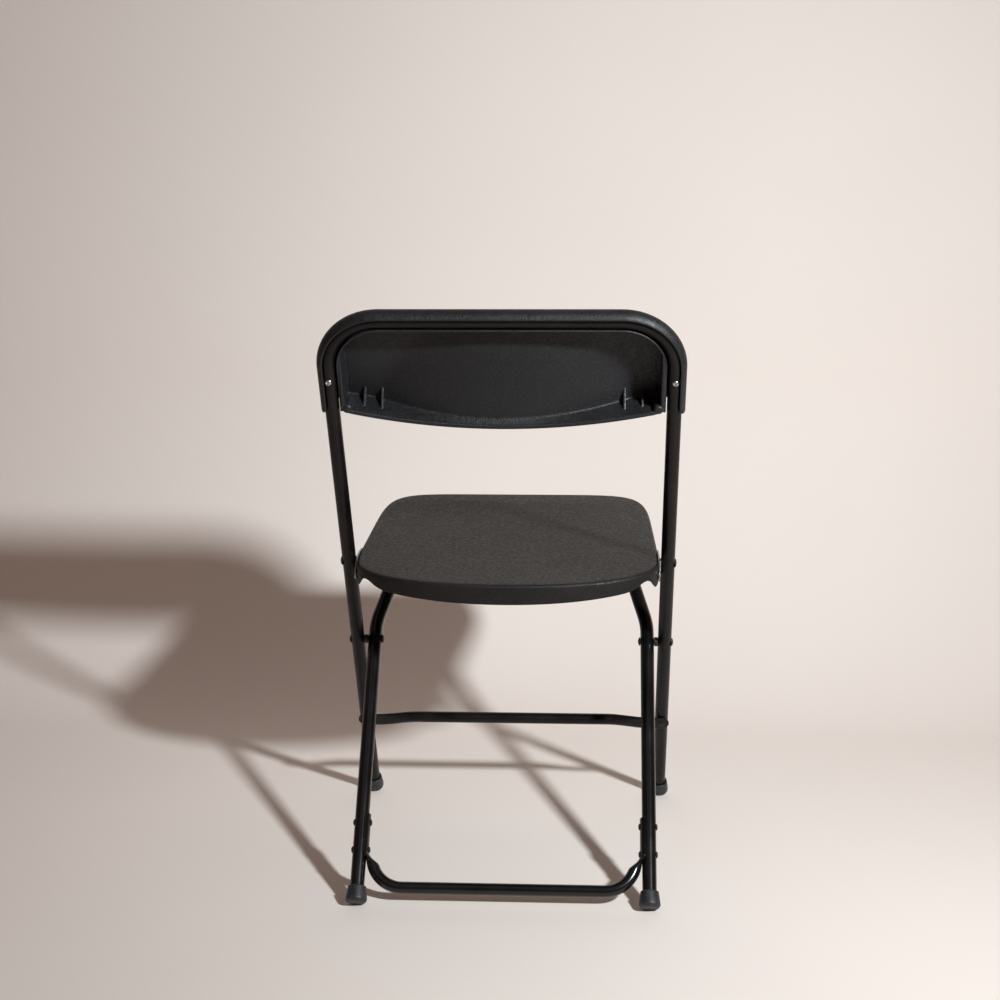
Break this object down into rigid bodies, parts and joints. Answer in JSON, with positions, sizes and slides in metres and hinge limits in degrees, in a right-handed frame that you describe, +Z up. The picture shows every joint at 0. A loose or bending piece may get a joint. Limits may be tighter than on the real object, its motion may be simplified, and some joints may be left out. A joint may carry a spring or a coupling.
{
  "type": "folding chair",
  "caption": "Folding chair with a steel tube frame, rear legs that swing with the tilting moulded seat, and a moulded backrest on the upright hoop.",
  "frame": {"origin": "on the floor, at the middle of the open chair's bounding box", "axes": "+Z up, the sitter faces -Y, +X is the sitter's left"},
  "size_m": [0.4634, 0.4996, 0.7875],
  "materials": {
    "frame_tube": "satin black powder coat on round steel tube",
    "leg_tube": "glossier black powder coat on round steel tube",
    "backrest_plastic": "black moulded plastic with a fine leather grain",
    "seat_plastic": "black moulded plastic with a fine leather grain",
    "foot_rubber": "dark grey rubber, scuffed",
    "black_rivets": "black coated steel rivets",
    "zinc_hardware": "bright zinc plated steel",
    "bracket_steel": "zinc plated pressed steel",
    "spacer_plastic": "black plastic spacer bush"
  },
  "bodies": {
    "front_frame": {"upright_hoop": "frame_tube", "front_stretcher": "frame_tube", "front_stretcher_rivets": "black_rivets", "front_left_foot": "foot_rubber", "front_right_foot": "foot_rubber", "backrest_shell": "backrest_plastic", "backrest_screws": "zinc_hardware", "seat_pivot_rivets": "black_rivets", "seat_pivot_washers": "zinc_hardware", "leg_pivot_rivets": "black_rivets", "leg_pivot_spacers": "spacer_plastic"},
    "rear_legs": {"rear_leg_hoop": "leg_tube", "rear_stretcher": "leg_tube", "rear_stretcher_rivets": "black_rivets", "rear_left_foot": "foot_rubber", "rear_right_foot": "foot_rubber"},
    "seat": {"seat_shell": "seat_plastic", "left_seat_bracket": "bracket_steel", "right_seat_bracket": "bracket_steel", "seat_bracket_rivets": "zinc_hardware", "left_glide_rail": "bracket_steel", "right_glide_rail": "bracket_steel", "glide_rail_screws": "zinc_hardware"}
  },
  "joints": [
    {"name": "seat_fold", "type": "hinge", "parent": "front_frame", "child": "seat", "pos_m": [0, 0.04485, 0.41994], "axis": [-1, 0, 0], "range_deg": [0, 103]},
    {"name": "rear_legs_fold", "type": "hinge", "parent": "front_frame", "child": "rear_legs", "pos_m": [0, -0.01903, 0.286], "axis": [-1, 0, 0], "range_deg": [0, 58.2]}
  ],
  "couplings": [
    {"joint": "rear_legs_fold", "follows": "seat_fold", "ratio": 0.564}
  ]
}
